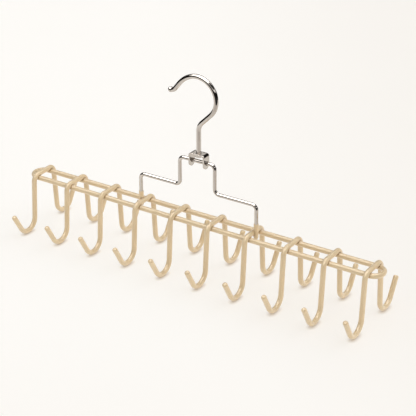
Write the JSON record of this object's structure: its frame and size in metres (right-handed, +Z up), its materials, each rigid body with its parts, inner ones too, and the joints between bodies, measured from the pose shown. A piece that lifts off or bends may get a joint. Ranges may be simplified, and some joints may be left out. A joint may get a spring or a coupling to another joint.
{
  "type": "tie hanger",
  "caption": "Hanging tie rack: a row of coated wire double hooks on a closed rail loop, with a bright wire bail and a tilting, swivelling hook that goes over a wardrobe rod.",
  "frame": {"origin": "on the surface that the tie hooks stand on, below the middle of the rack", "axes": "+X along the rails, +Y from the front row of tie hooks to the back row, +Z up along the shank of the rod hook"},
  "size_m": [0.3266, 0.0846, 0.165],
  "materials": {
    "coat": "satin soft vinyl coating, cream",
    "core_steel": "plain steel wire, hidden under the coat",
    "bright_wire": "bright chrome-plated steel wire",
    "bright_sheet": "bright chrome-plated steel sheet"
  },
  "bodies": {
    "rack": {"hook_coat_01": "coat", "hook_coat_02": "coat", "hook_coat_03": "coat", "hook_coat_04": "coat", "hook_coat_05": "coat", "hook_coat_06": "coat", "hook_coat_07": "coat", "hook_coat_08": "coat", "hook_coat_09": "coat", "hook_coat_10": "coat", "hook_core_01": "core_steel", "hook_core_02": "core_steel", "hook_core_03": "core_steel", "hook_core_04": "core_steel", "hook_core_05": "core_steel", "hook_core_06": "core_steel", "hook_core_07": "core_steel", "hook_core_08": "core_steel", "hook_core_09": "core_steel", "hook_core_10": "core_steel", "rail_loop_coat": "coat", "rail_loop_core": "core_steel", "bail": "bright_wire", "bail_foot_coat_left": "coat", "bail_foot_coat_right": "coat"},
    "saddle": {"swivel_saddle": "bright_sheet"},
    "hook": {"rod_hook": "bright_wire"}
  },
  "joints": [
    {"name": "saddle_tilt", "type": "hinge", "parent": "rack", "child": "saddle", "pos_m": [0, 0, 0.0943], "axis": [1, 0, 0], "range_deg": [-135, 135]},
    {"name": "hook_swivel", "type": "hinge", "parent": "saddle", "child": "hook", "pos_m": [0.0015, 0, 0.1007], "axis": [0, 0, 1], "continuous": true}
  ]
}
